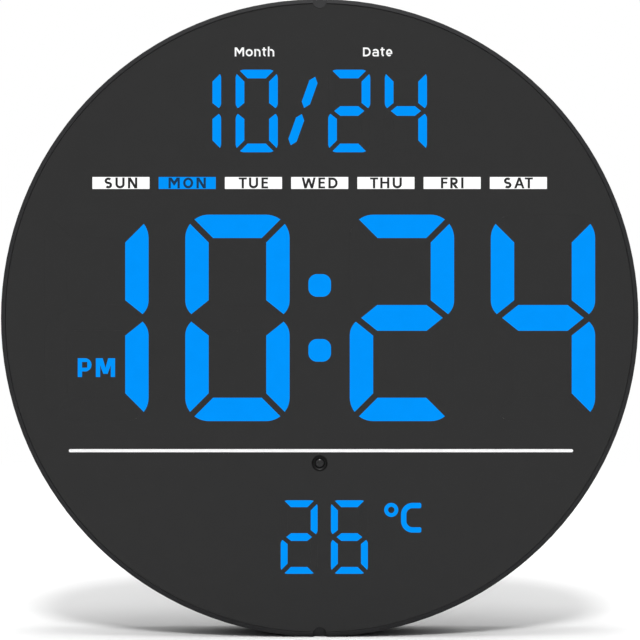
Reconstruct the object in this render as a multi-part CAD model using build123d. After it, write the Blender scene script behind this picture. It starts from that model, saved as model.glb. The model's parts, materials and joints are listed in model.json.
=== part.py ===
from build123d import *
import math
import os
from collections import namedtuple

# Round digital wall clock. Sizes are in millimetres and angles in degrees.
# Seen from the front, X is right and Z is up. The wall is the plane Y = 0.
# A depth is a distance in front of the wall, so depth d lies at Y = -d.

# Time digits
TIME_TEXT = "10:24"
TIME_WIDTH = 48.95
TIME_HEIGHT = 96.9
TIME_STROKE = 10.95
TIME_MID_STROKE = 12.1
TIME_GAP = 2.95
TIME_PAIR_SPACE = 17.25
COLON_SPACE = 28.3
COLON_SIZE = 10.6
COLON_CORNER = 4.0
COLON_RISE = 15.25

# Date digits: the month's tens digit has only its two right-hand segments
DATE_TEXT = "10/24"
DATE_WIDTH = 19.75
DATE_HEIGHT = 38.75
DATE_STROKE = 4.05
DATE_MID_STROKE = 4.5
DATE_GAP = 2.15
DATE_PAIR_SPACE = 6.85
DATE_RISE = 11.62
SLASH_SPACE = 23.7
SLASH_LENGTH = 15.5
SLASH_SHOULDER = 10.6
SLASH_GAP = 3.1
SLASH_LEAN_DEG = 19.7

# Temperature digits and the degree sign
TEMP_TEXT = "26 C"
TEMP_WIDTH = 17.3
TEMP_HEIGHT = 34.5
TEMP_STROKE = 3.2
TEMP_MID_STROKE = 3.6
TEMP_GAP = 2.2
TEMP_PAIR_SPACE = 6.3
TEMP_LEFT = -18.3
TEMP_DROP = 22.58
DEGREE_RADIUS = 3.3
DEGREE_HOLE_RADIUS = 1.5
DEGREE_SPACE = 7.7
DEGREE_DROP = 1.2
CELSIUS_WIDTH = 9.5
CELSIUS_HEIGHT = 13.95
CELSIUS_STROKE = 2.5
CELSIUS_ROUND = 5.4
CELSIUS_SPACE = 1.3
CELSIUS_END_ROUND = 0.8

# Shape of every digit's segments
MID_ANGLE_DEG = 38.7
MID_TIP_SHARE = 0.27
MID_ROUND_SHARE = 0.79

# Afternoon letters inside the first time digit
LETTER_HEIGHT = 8.8
LETTER_STROKE = 2.0
LETTER_BAR = 1.75
LETTER_SPACE = 2.05
P_WIDTH = 6.45
P_BOWL = 6.2
M_WIDTH = 9.0
M_SHOULDER = 3.2
M_VALLEY = 4.5
M_POINT = 7.3
PM_DROP = 23.35

# Weekday row and divider line
WEEKDAY_COUNT = 7
TODAY_INDEX = 1
WEEKDAY_WIDTH = 26.8
WEEKDAY_HEIGHT = 5.6
WEEKDAY_PITCH = 31.1
DIVIDER_LENGTH = 236.8
DIVIDER_HEIGHT = 1.47
DIVIDER_SHIFT = 0.6
DIVIDER_DROP = 13.15

# Sensor behind the front panel
SENSOR_DROP = 5.89
SENSOR_RADIUS = 2.28
SENSOR_GAP = 0.22
SENSOR_RING_WALL = 1.27
SENSOR_RING_LAND = 0.29
SENSOR_SIT_BACK = 2.2

# Case
CASE_WALL = 2.4
RIM_LAND = 0.3
RIM_FALL = 1.7
RIM_SHOULDER_ROUND = 0.4
RIM_INNER_ROUND = 0.1
PANEL_BORDER = 9.37
PANEL_CLEARANCE = 0.15
LIP_PROUD = 0.2
REAR_ROUND = 6.0
PARTING_DEPTH = 12.0
SEAM_SIZE = 0.4
REGISTER_HEIGHT = 2.0
REGISTER_ROOT = 3.0
REGISTER_WALL = 1.2
REGISTER_CLEARANCE = 0.15
KEY_RADIUS = 3.2
KEY_HEIGHT = 2.2
KEY_SINK = 0.05
KEY_TIP_DROP = 0.15
KEY_SLOPE_DEG = 29.0

# Layers behind the front
PANEL_THICKNESS = 2.0
TAPE_THICKNESS = 0.2
PLATE_THICKNESS = 1.8
REFLECTOR_DEPTH = 7.3
REFLECTOR_WALL = 1.6
BOARD_THICKNESS = 1.6
BACK_ROOM = 16.9
WINDOW_FIT = 0.02
WELL_LEDGE = 0.5
LABEL_INLAY = 1.4
LINE_INLAY = 0.4
PLATE_GAP = 0.3
TAPE_GAP = 0.5

# Boards, their bosses and their screws
BOARD_GAP = 0.8
BOARD_MARGIN = 0.4
BOARD_EDGE_GAP = 0.8
BOSS_RADIUS = 3.0
BOSS_MARGIN = 0.7
BOSS_PILOT = 1.0
TIME_BOSS_PITCH = 100.0
CALENDAR_BOSS_INSET = 18.0
CALENDAR_BOSS_RISE = 8.0
TEMP_BOSS_X = 36.0
TEMP_BOSS_DROP = 12.0
BOARD_SCREW_RADIUS = 0.95
BOARD_SCREW_HEAD = 2.0
BOARD_SCREW_HEAD_HEIGHT = 1.4
BOARD_SCREW_REACH = 3.4
BOARD_HOLE_RADIUS = 1.2
PILOT_END_GAP = 0.5

# Case screws
HOUSING_SCREW_INSET = 11.0
POST_BAY_GAP = 3.65
POST_RADIUS = 4.2
POST_PILOT = 1.3
HOUSING_SCREW_RADIUS = 1.25
HOUSING_SCREW_HOLE = 1.7
HOUSING_SCREW_HEAD = 2.9
HOUSING_SCREW_HEAD_HEIGHT = 2.0
HOUSING_SCREW_WELL = 3.2
HOUSING_SCREW_SHOULDER = 3.5
HOUSING_SCREW_REACH = 8.0
CROSS_SLOT = 0.7
CROSS_DEPTH = 0.8

# Parts on the boards
LED_LARGE = 3.0
LED_SMALL = 1.6
LED_HEIGHT = 0.8
CHIP_HEIGHT = 2.0
LEAD_PITCH = 1.27
LEAD_WIDTH = 0.45
LEAD_REACH = 1.4
LEAD_THICKNESS = 0.3
MCU_PLACE = (-20.0, 10.0)
MCU_SIZE = (18.0, 7.5)
MCU_LEAD_COUNT = 14
DRIVER_PLACES = ((-70.0, -20.0), (-20.0, -20.0), (30.0, -20.0))
DRIVER_SIZE = (10.0, 4.0)
DRIVER_LEAD_COUNT = 8
CRYSTAL_PLACE = (0.0, 10.0)
CRYSTAL_SIZE = (10.5, 4.6)
CRYSTAL_HEIGHT = 3.5
CAPACITOR_INSET = 19.45
CAPACITOR_RISE = 21.65
CAPACITOR_PITCH = 12.0
CAPACITOR_RADIUS = 4.0
CAPACITOR_HEIGHT = 9.0
BUZZER_INSET = 102.0
BUZZER_RISE = 24.0
BUZZER_RADIUS = 6.0
BUZZER_HEIGHT = 9.5
BUZZER_PORT_RADIUS = 1.0
BUZZER_PORT_COUNT = 6
THERMISTOR_X = -33.0
THERMISTOR_RISE = 5.0
THERMISTOR_RADIUS = 1.3
THERMISTOR_STANDOFF = 4.0
THERMISTOR_LEG = 0.5
THERMISTOR_PITCH = 1.6
RIBBON_WIDTH = 14.0
RIBBON_THICKNESS = 0.9
RIBBON_ARCH = 4.0
RIBBON_LANDING = 4.5
RIBBON_ROUND = 1.5
CALENDAR_RIBBON_X = -40.0
TEMP_RIBBON_X = 20.0

# Fold-out stand
STAND_WIDTH = 55.2
STAND_SIDE_GAP = 0.4
STAND_THICKNESS = 4.5
STAND_SINK = 0.5
STAND_FLOOR_GAP = 0.3
STAND_HINGE_DROP = 40.0
STAND_OPEN_DEG = 25.0
STAND_STOP_GAP = 0.1
STAND_FLOOR = 2.0
STAND_RECESS_WALL = 2.6
STAND_PIN_RADIUS = 1.25
STAND_PIN_RUNNING = 0.05
STAND_PIN_SEAT = 0.02
STAND_PIN_ENGAGE = 2.0
STAND_PAD_WIDTH = 40.0
STAND_PAD_HEIGHT = 7.0
STAND_PAD_THICKNESS = 2.0
GRIP_COUNT = 3
GRIP_WIDTH = 30.0
GRIP_HEIGHT = 1.2
GRIP_PITCH = 4.0
GRIP_DEPTH = 0.6
GRIP_RISE = 14.0

# Backup battery
DOOR_INSET = 64.0
DOOR_RISE = 24.0
DOOR_WIDTH = 29.4
DOOR_HEIGHT = 33.4
DOOR_THICKNESS = 1.8
DOOR_SINK = 0.3
DOOR_GAP = 0.3
DOOR_SEAT_GAP = 0.1
DOOR_PIN_RADIUS = 0.6
DOOR_PIN_LENGTH = 1.2
DOOR_PIN_RUNNING = 0.05
DOOR_WALL = 2.0
DOOR_SWING_GAP = 0.3
DOOR_THUMB_RADIUS = 7.0
DOOR_THUMB_DEPTH = 1.2
CELL_RADIUS = 10.0
CELL_THICKNESS = 3.2
CELL_CLEARANCE = 0.3
CELL_DOOR_GAP = 0.5
CELL_UNDER_ROOM = 1.0
CONTACT_THICKNESS = 0.5
CONTACT_WIDTH = 3.0
CONTACT_GAP = 0.3
CONTACT_LEG_INSET = 2.0

# Buttons
BUTTON_INSET = 64.0
BUTTON_RISE = 26.0
BUTTON_PITCH = 16.0
BUTTON_RADIUS = 3.5
BUTTON_GAP = 0.2
BUTTON_SINK = 0.3
BUTTON_TRAVEL = 0.5
BUTTON_ROUND = 0.4
BUTTON_FLANGE = 1.1
BUTTON_FLANGE_THICKNESS = 0.7
BUTTON_FLANGE_GAP = 0.1
BUTTON_RECESS_DEPTH = 1.5
BUTTON_RECESS_MARGIN = 3.5
PLUNGER_RADIUS = 1.75
PLUNGER_CLEARANCE = 0.05
PLUNGER_INSERT = 1.0
PLUNGER_END_GAP = 0.3
TACT_SIZE = 6.0
TACT_HEIGHT = 3.5
KEY_BOARD_HEIGHT = 18.0
KEY_BOARD_BOSS_GAP = 2.4
KEY_BOARD_BOSS_RADIUS = 2.6
KEY_BOARD_END = 3.5
HEADER_SIZE = (10.2, 2.5)
HEADER_RISE = 6.0

# Power inlet, its bay and the cable channel
INLET_INSET = 80.0
JACK_WIDTH = 9.0
JACK_LENGTH = 12.0
JACK_HEIGHT = 11.0
JACK_NOSE_RADIUS = 4.0
JACK_NOSE_LENGTH = 2.6
JACK_BORE_RADIUS = 2.75
JACK_BORE_DEPTH = 9.0
JACK_PIN_RADIUS = 1.05
JACK_PIN_LENGTH = 8.0
JACK_GAP = 0.3
BAY_WIDTH = 19.0
BAY_LENGTH = 41.0
BAY_WALL = 2.0
CABLE_WIDTH = 6.0
CABLE_DEPTH = 6.0

# Keyhole hanger, vents
KEYHOLE_INSET = 45.0
KEYHOLE_RADIUS = 4.5
KEYHOLE_SLOT = 4.6
KEYHOLE_RISE = 8.5
KEYHOLE_ROOM = 3.5
KEYHOLE_POCKET_DEPTH = 6.5
KEYHOLE_POCKET_WALL = 2.0
VENT_SIDE_INSET = 84.0
VENT_LOW_INSET = 66.0
VENT_COUNT = 6
VENT_PITCH = 5.0
VENT_WIDTH = 2.0
VENT_LENGTH = 22.0

# Digit groups worked out from the sizes above
Style = namedtuple("Style", "width height stroke mid_stroke gap")
TIME_STYLE = Style(TIME_WIDTH, TIME_HEIGHT, TIME_STROKE, TIME_MID_STROKE, TIME_GAP)
DATE_STYLE = Style(DATE_WIDTH, DATE_HEIGHT, DATE_STROKE, DATE_MID_STROKE, DATE_GAP)
TEMP_STYLE = Style(TEMP_WIDTH, TEMP_HEIGHT, TEMP_STROKE, TEMP_MID_STROKE, TEMP_GAP)
SEGMENTS_OF = {
    "0": "abcdef", "1": "bc", "2": "abged", "3": "abgcd", "4": "fgbc",
    "5": "afgcd", "6": "afgedc", "7": "abc", "8": "abcdefg", "9": "abcdfg",
}
HALF_DIGIT = "bc"

# Depths of the layers, from the wall to the front
board_back = BACK_ROOM
board_front = board_back + BOARD_THICKNESS
panel_back = board_front + REFLECTOR_DEPTH
panel_front = panel_back + PANEL_THICKNESS
case_depth = panel_front + LIP_PROUD
plate_front = panel_back - TAPE_THICKNESS
plate_back = plate_front - PLATE_THICKNESS

# Reach of the display rows to the side
time_half_width = 2 * TIME_WIDTH + TIME_PAIR_SPACE + COLON_SPACE / 2
date_half_width = (DATE_STROKE + 3 * DATE_WIDTH + 2 * DATE_PAIR_SPACE + SLASH_SPACE) / 2
weekday_half_width = (WEEKDAY_PITCH * (WEEKDAY_COUNT - 1) + WEEKDAY_WIDTH) / 2
temp_right = TEMP_LEFT + 2 * TEMP_WIDTH + TEMP_PAIR_SPACE

# Heights of the display rows, from the middle upwards and downwards
time_window_half = TIME_HEIGHT / 2 + REFLECTOR_WALL + PLATE_GAP
time_boss_z = time_window_half + BOSS_MARGIN + BOSS_RADIUS
time_board_half = time_boss_z + BOSS_RADIUS + BOSS_MARGIN
time_board_side = time_half_width + REFLECTOR_WALL + BOARD_MARGIN
calendar_bottom = time_board_half + BOARD_GAP
weekday_z = calendar_bottom + BOARD_MARGIN + REFLECTOR_WALL + WEEKDAY_HEIGHT / 2
date_z = weekday_z + WEEKDAY_HEIGHT / 2 + DATE_RISE + DATE_HEIGHT / 2
divider_z = -(TIME_HEIGHT / 2 + DIVIDER_DROP + DIVIDER_HEIGHT / 2)
sensor_z = divider_z - SENSOR_DROP
temp_z = divider_z - DIVIDER_HEIGHT / 2 - TEMP_DROP - TEMP_HEIGHT / 2
temp_top = temp_z + TEMP_HEIGHT / 2

# Radii of the case, which holds the outermost corner of every row
row_corners = (
    (time_half_width, TIME_HEIGHT / 2),
    (weekday_half_width, weekday_z + WEEKDAY_HEIGHT / 2),
    (date_half_width, date_z + DATE_HEIGHT / 2),
    (DIVIDER_LENGTH / 2 + DIVIDER_SHIFT, divider_z),
    (TEMP_LEFT, temp_z - TEMP_HEIGHT / 2),
    (temp_right, temp_z - TEMP_HEIGHT / 2),
)
panel_radius = max(math.hypot(x, z) for x, z in row_corners) + PANEL_BORDER
rim_inner = panel_radius + PANEL_CLEARANCE
outer_radius = rim_inner + CASE_WALL

# Places on the back, measured in from the edge of the case
door_place = (outer_radius - DOOR_INSET, DOOR_RISE)
button_place = (BUTTON_INSET - outer_radius, BUTTON_RISE)
vent_place = (VENT_SIDE_INSET - outer_radius, VENT_LOW_INSET - outer_radius)
buzzer_place = (outer_radius - BUZZER_INSET, BUZZER_RISE)
inlet_x = outer_radius - INLET_INSET

# Sensor ring
sensor_ring_inner = SENSOR_RADIUS + SENSOR_GAP
sensor_ring_radius = sensor_ring_inner + SENSOR_RING_WALL

# Stand hinge
stand_hinge_depth = STAND_SINK + STAND_THICKNESS / 2
stand_hinge_z = -STAND_HINGE_DROP
stand_floor_depth = STAND_SINK + STAND_THICKNESS + STAND_FLOOR_GAP
stand_turn = math.radians(STAND_OPEN_DEG)
stand_heel_reach = STAND_THICKNESS / 2 * (1 - math.cos(stand_turn)) + STAND_FLOOR_GAP
stand_heel = stand_heel_reach / math.sin(stand_turn) - STAND_STOP_GAP
stand_recess_half = STAND_WIDTH / 2 + STAND_SIDE_GAP
stand_recess_top = stand_hinge_z + math.hypot(stand_heel, STAND_THICKNESS / 2) + STAND_SIDE_GAP

# Battery door hinge and the cell's pocket
door_back = DOOR_SINK + DOOR_THICKNESS
door_half = DOOR_THICKNESS / 2
door_hinge_depth = DOOR_SINK + door_half
door_hinge_z = DOOR_RISE + DOOR_HEIGHT / 2 - door_half
door_swing = math.hypot(door_half, door_half) + DOOR_SWING_GAP
cell_near = door_back + CELL_DOOR_GAP
cell_far = cell_near + CELL_THICKNESS
cell_floor = cell_far + CELL_UNDER_ROOM

# Button stack
button_wall_front = BUTTON_RECESS_DEPTH + CASE_WALL
button_flange_near = button_wall_front + BUTTON_FLANGE_GAP
button_end = button_flange_near + BUTTON_FLANGE_THICKNESS
tact_near = button_end + BUTTON_TRAVEL + PLUNGER_END_GAP
key_board_near = tact_near + TACT_HEIGHT
key_board_far = key_board_near + BOARD_THICKNESS
key_board_boss_reach = BUTTON_PITCH + TACT_SIZE / 2 + KEY_BOARD_BOSS_GAP + KEY_BOARD_BOSS_RADIUS

# Power inlet
jack_axis_depth = board_back - JACK_HEIGHT + JACK_WIDTH / 2
jack_bottom = -time_board_half
bay_top = jack_bottom - JACK_GAP - BAY_WALL
bay_bottom = bay_top - BAY_LENGTH
bay_depth = jack_axis_depth + JACK_NOSE_RADIUS + JACK_GAP


# Helpers

def slab(profile, near, far):
    """Solid over a front-view profile between two depths."""
    return extrude(Plane.XZ.offset(near) * profile, far - near, dir=(0, -1, 0))


def rect(left, right, bottom, top):
    return Pos((left + right) / 2, (bottom + top) / 2) * Rectangle(right - left, top - bottom)


def disc(x, z, radius):
    return Pos(x, z) * Circle(radius)


def rod_x(left, right, depth, z, radius):
    return extrude(Plane.YZ.offset(left) * disc(-depth, z, radius), right - left)


def rod_z(bottom, top, x, depth, radius):
    return extrude(Plane.XY.offset(bottom) * disc(x, -depth, radius), top - bottom)


def turned(points):
    """Solid turned about the clock's axis from (radius, depth) points."""
    profile = Polygon(*[(radius, -depth) for radius, depth in points], align=None)
    return revolve(profile, Axis.Y)


def joined(faces):
    return Sketch() + faces


def discs(places, radius):
    return joined([disc(x, z, radius) for x, z in places])


def around(faces, margin):
    """Rectangle that surrounds some faces by a margin."""
    box = joined(faces).bounding_box()
    return rect(box.min.X - margin, box.max.X + margin, box.min.Y - margin, box.max.Y + margin)


def grown(faces, amount):
    return [offset(face, amount, kind=Kind.INTERSECTION) for face in faces]


def screw(x, z, seat, reach, radius, head_radius, head_height, forward=True):
    """Cross-head screw whose head bears on a depth and whose shank runs forward or back from it."""
    way = 1 if forward else -1
    crown = seat - way * head_height
    head = slab(disc(x, z, head_radius), min(crown, seat), max(crown, seat))
    shank = slab(disc(x, z, radius), min(seat, seat + way * reach), max(seat, seat + way * reach))
    cross = Rectangle(2 * radius, CROSS_SLOT) + Rectangle(CROSS_SLOT, 2 * radius)
    floor = crown + way * CROSS_DEPTH
    return head + shank - slab(Pos(x, z) * cross, min(crown, floor), max(crown, floor))


# Display shapes

def digit_segments(style):
    """The seven segment faces of one digit about its own centre, keyed a to g."""
    half_w = style.width / 2
    half_h = style.height / 2
    mitre = style.gap / math.sqrt(2)
    slope = math.tan(math.radians(MID_ANGLE_DEG))
    half_gap = style.gap / 2 / math.sin(math.radians(MID_ANGLE_DEG))
    mid_tip = style.stroke * MID_TIP_SHARE
    low = slope * (half_gap - mid_tip)
    outline = rect(-half_w, half_w, low, half_h)
    outline = fillet(outline.vertices().group_by(Axis.Y)[-1], style.stroke)
    outline = fillet(outline.vertices().group_by(Axis.Y)[0], style.stroke * MID_ROUND_SHARE)
    inner = style.stroke - half_w
    top = Polygon(
        (mitre - half_w, half_h),
        (half_w - mitre, half_h),
        (-inner - mitre, half_h - style.stroke),
        (inner + mitre, half_h - style.stroke),
        align=None,
    ) & outline
    upper_left = Polygon(
        (-half_w, half_h - mitre),
        (-half_w, low),
        (inner, low + slope * style.stroke),
        (inner, half_h - mitre - style.stroke),
        align=None,
    ) & outline
    tip = half_w - mid_tip - half_gap
    half_mid = style.mid_stroke / 2
    shoulder = tip - half_mid / slope
    middle = Polygon(
        (-tip, 0), (-shoulder, half_mid), (shoulder, half_mid),
        (tip, 0), (shoulder, -half_mid), (-shoulder, -half_mid),
        align=None,
    )
    upper_right = mirror(upper_left, Plane.YZ)
    half_turn = Rot(0, 0, 180)
    return {
        "a": top,
        "b": upper_right,
        "c": half_turn * upper_left,
        "d": half_turn * top,
        "e": half_turn * upper_right,
        "f": upper_left,
        "g": middle,
    }


def digits_of(text):
    return [letter for letter in text if letter.isdigit()]


def digit_row(style, digits, centres, z, fitted="abcdefg"):
    """Lit and unlit segment faces of a row of digits."""
    segments = digit_segments(style)
    lit = []
    unlit = []
    for digit, x in zip(digits, centres):
        for name in fitted:
            group = lit if name in SEGMENTS_OF[digit] else unlit
            group.append(Pos(x, z) * segments[name])
    return lit, unlit


def time_row():
    inner = COLON_SPACE / 2 + TIME_WIDTH / 2
    outer = inner + TIME_WIDTH + TIME_PAIR_SPACE
    return digit_row(TIME_STYLE, digits_of(TIME_TEXT), (-outer, -inner, inner, outer), 0)


def colon_faces():
    square = RectangleRounded(COLON_SIZE, COLON_SIZE, COLON_CORNER)
    return [Pos(0, z) * square for z in (COLON_RISE, -COLON_RISE)]


def date_places():
    """Middle of the month's tens digit, of the other three digits, and of the slash."""
    tens = DATE_STROKE - date_half_width - DATE_WIDTH / 2
    units = tens + DATE_WIDTH + DATE_PAIR_SPACE
    day_tens = units + DATE_WIDTH + SLASH_SPACE
    day_units = day_tens + DATE_WIDTH + DATE_PAIR_SPACE
    return tens, (units, day_tens, day_units), (units + day_tens) / 2


def date_row():
    month_tens, *others = digits_of(DATE_TEXT)
    tens_x, other_places, _ = date_places()
    tens_lit, tens_unlit = digit_row(DATE_STYLE, [month_tens], [tens_x], date_z, HALF_DIGIT)
    lit, unlit = digit_row(DATE_STYLE, others, other_places, date_z)
    return tens_lit + lit, tens_unlit + unlit


def slash_faces():
    half = DATE_STROKE / 2
    shoulder = SLASH_SHOULDER / 2
    end = SLASH_LENGTH / 2
    bar = Polygon(
        (0, end), (half, shoulder), (half, -shoulder),
        (0, -end), (-half, -shoulder), (-half, shoulder),
        align=None,
    )
    middle = Pos(date_places()[2], date_z) * Rot(0, 0, -SLASH_LEAN_DEG)
    rise = (SLASH_LENGTH + SLASH_GAP) / 2
    return [middle * Pos(0, rise) * bar, middle * Pos(0, -rise) * bar]


def temperature_row():
    first = TEMP_LEFT + TEMP_WIDTH / 2
    second = first + TEMP_WIDTH + TEMP_PAIR_SPACE
    return digit_row(TEMP_STYLE, digits_of(TEMP_TEXT), (first, second), temp_z)


def celsius_faces():
    """Degree ring and capital C after the temperature digits."""
    top = temp_top - DEGREE_DROP
    ring_x = temp_right + DEGREE_SPACE + DEGREE_RADIUS
    ring = disc(ring_x, top - DEGREE_RADIUS, DEGREE_RADIUS)
    ring -= disc(ring_x, top - DEGREE_RADIUS, DEGREE_HOLE_RADIUS)
    left = ring_x + DEGREE_RADIUS + CELSIUS_SPACE
    right = left + CELSIUS_WIDTH
    outer = rect(left, right, top - CELSIUS_HEIGHT, top)
    outer = fillet(outer.vertices().group_by(Axis.X)[0], CELSIUS_ROUND)
    inner = rect(left + CELSIUS_STROKE, right, top - CELSIUS_HEIGHT + CELSIUS_STROKE, top - CELSIUS_STROKE)
    inner = fillet(inner.vertices().group_by(Axis.X)[0], CELSIUS_ROUND - CELSIUS_STROKE)
    ends = (outer - inner).vertices().group_by(Axis.X)[-1]
    return [ring, fillet(ends, CELSIUS_END_ROUND)]


def afternoon_faces():
    """Capitals P and M, centred under the bar of the first time digit."""
    left = TIME_WIDTH / 2 - time_half_width - (P_WIDTH + LETTER_SPACE + M_WIDTH) / 2
    low = -PM_DROP - LETTER_HEIGHT / 2
    bowl = rect(0, P_WIDTH, LETTER_HEIGHT - P_BOWL, LETTER_HEIGHT)
    bowl = fillet(bowl.vertices().group_by(Axis.X)[-1], P_BOWL / 2 - WINDOW_FIT)
    counter = rect(LETTER_STROKE, P_WIDTH - LETTER_STROKE,
                   LETTER_HEIGHT - P_BOWL + LETTER_BAR, LETTER_HEIGHT - LETTER_BAR)
    letter_p = rect(0, LETTER_STROKE, 0, LETTER_HEIGHT) + bowl - counter
    middle = M_WIDTH / 2
    foot = LETTER_STROKE / 2
    letter_m = Polygon(
        (0, 0), (0, LETTER_HEIGHT), (M_SHOULDER, LETTER_HEIGHT),
        (middle, LETTER_HEIGHT - M_VALLEY),
        (M_WIDTH - M_SHOULDER, LETTER_HEIGHT), (M_WIDTH, LETTER_HEIGHT), (M_WIDTH, 0),
        (M_WIDTH - LETTER_STROKE, 0), (M_WIDTH - LETTER_STROKE, LETTER_HEIGHT - M_SHOULDER),
        (middle + foot, LETTER_HEIGHT - M_POINT), (middle - foot, LETTER_HEIGHT - M_POINT),
        (LETTER_STROKE, LETTER_HEIGHT - M_SHOULDER), (LETTER_STROKE, 0),
        align=None,
    )
    return [Pos(left, low) * letter_p, Pos(left + P_WIDTH + LETTER_SPACE, low) * letter_m]


def weekday_faces():
    """Windows of the other weekdays, and the one of today."""
    first = WEEKDAY_WIDTH / 2 - weekday_half_width
    box = Rectangle(WEEKDAY_WIDTH, WEEKDAY_HEIGHT)
    row = [Pos(first + WEEKDAY_PITCH * i, weekday_z) * box for i in range(WEEKDAY_COUNT)]
    today = [row.pop(TODAY_INDEX)]
    return row, today


def divider_face():
    return Pos(DIVIDER_SHIFT, divider_z) * SlotOverall(DIVIDER_LENGTH, DIVIDER_HEIGHT)


time_lit, time_unlit = time_row()
colon = colon_faces()
date_lit, date_unlit = date_row()
slash = slash_faces()
temp_lit, temp_unlit = temperature_row()
celsius = celsius_faces()
afternoon = afternoon_faces()
weekdays, today = weekday_faces()
divider = divider_face()

time_wells = time_lit + time_unlit + colon
date_wells = date_lit + date_unlit + slash
weekday_wells = weekdays + today
temp_wells = temp_lit + temp_unlit

time_frame = around(time_wells, REFLECTOR_WALL)
date_frame = around(date_wells, REFLECTOR_WALL)
weekday_frame = around(weekday_wells, REFLECTOR_WALL)
temp_frame = around(temp_wells + celsius, REFLECTOR_WALL)
reflector_frames = [time_frame, date_frame, weekday_frame, temp_frame]
plate_openings = [around([frame], PLATE_GAP) for frame in reflector_frames]
date_box = date_frame.bounding_box()
weekday_box = weekday_frame.bounding_box()
temp_box = temp_frame.bounding_box()


# Places of the screws

def housing_screw_places():
    """One screw at each side, and four as far out as the post beside the power bay."""
    radius = outer_radius - HOUSING_SCREW_INSET
    x = inlet_x + BAY_WIDTH / 2 + BAY_WALL + POST_BAY_GAP + POST_RADIUS
    z = math.sqrt(radius ** 2 - x ** 2)
    return [(radius, 0), (-radius, 0), (x, z), (-x, z), (-x, -z), (x, -z)]


boss_step = PLATE_GAP + BOSS_MARGIN + BOSS_RADIUS
time_bosses = [(x, z) for x in (-TIME_BOSS_PITCH, 0, TIME_BOSS_PITCH) for z in (-time_boss_z, time_boss_z)]
calendar_low_boss = (weekday_box.max.X - CALENDAR_BOSS_INSET, weekday_box.max.Y + boss_step)
calendar_high_boss = (date_box.max.X + boss_step, date_z + CALENDAR_BOSS_RISE)
calendar_bosses = [(side * x, z) for x, z in (calendar_low_boss, calendar_high_boss) for side in (-1, 1)]
temp_bosses = [
    (-TEMP_BOSS_X, temp_box.max.Y + boss_step),
    (TEMP_BOSS_X, temp_box.max.Y + boss_step),
    (temp_box.min.X - boss_step, temp_z - TEMP_BOSS_DROP),
]
board_bosses = time_bosses + calendar_bosses + temp_bosses
housing_posts = housing_screw_places()


# Front: panel, light windows and printed lines

def keys(radius):
    """Half-round locating keys at the top and bottom of the rim."""
    middle = rim_inner + KEY_RADIUS - KEY_HEIGHT
    return [disc(0, side * middle, radius) for side in (1, -1)]


def front_panel():
    through = time_wells + date_wells + weekday_wells + temp_wells
    profile = Circle(panel_radius) - keys(KEY_RADIUS + PANEL_CLEARANCE)
    profile -= grown(through, WINDOW_FIT) + [disc(0, sensor_z, sensor_ring_radius)]
    panel = slab(profile, panel_back, panel_front)
    panel -= slab(joined(grown(celsius + afternoon, WINDOW_FIT)), panel_front - LABEL_INLAY, panel_front)
    return panel - slab(joined(grown([divider], WINDOW_FIT)), panel_front - LINE_INLAY, panel_front)


def windows(faces):
    return slab(joined(faces), panel_back, panel_front)


def labels(faces):
    return slab(joined(faces), panel_front - LABEL_INLAY, panel_front)


def panel_tape():
    corners = joined(plate_openings).vertices()
    inner = max(math.hypot(corner.X, corner.Y) for corner in corners) + TAPE_GAP
    outer = rim_inner - KEY_HEIGHT - TAPE_GAP
    return slab(Circle(outer) - Circle(inner), plate_front, panel_back)


def sensor_bezel():
    outer = sensor_ring_radius - WINDOW_FIT
    lip = panel_front - WINDOW_FIT
    mouth = outer - SENSOR_RING_LAND
    ring = turned([(sensor_ring_inner, panel_back), (outer, panel_back), (outer, lip), (mouth, lip),
                   (sensor_ring_inner, panel_front - SENSOR_RING_WALL)])
    return Pos(0, 0, sensor_z) * ring


def sensor_dome():
    middle = panel_front - SENSOR_SIT_BACK
    body = slab(disc(0, sensor_z, SENSOR_RADIUS), board_front, middle)
    return body + Pos(0, -middle, sensor_z) * Sphere(SENSOR_RADIUS)


# Case

def seam_groove():
    """V groove round the case where its two halves meet."""
    return turned([
        (outer_radius - SEAM_SIZE, PARTING_DEPTH),
        (outer_radius + SEAM_SIZE, PARTING_DEPTH - 2 * SEAM_SIZE),
        (outer_radius + SEAM_SIZE, PARTING_DEPTH + 2 * SEAM_SIZE),
    ])


def key_slopes():
    """Cuts that slope each key, and the rim beside it, back to the outer wall."""
    slope = math.tan(math.radians(KEY_SLOPE_DEG))
    tip = rim_inner - KEY_HEIGHT
    inner = tip - CASE_WALL
    outer = outer_radius + CASE_WALL
    high = KEY_TIP_DROP - case_depth - (tip - inner) * slope
    low = KEY_TIP_DROP - case_depth + (outer - tip) * slope
    wedge = extrude(Polygon((inner, high), (outer, low), (outer, high), align=None), KEY_RADIUS, both=True)
    return [Rot(0, turn, 0) * wedge for turn in (-90, 90)]


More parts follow.
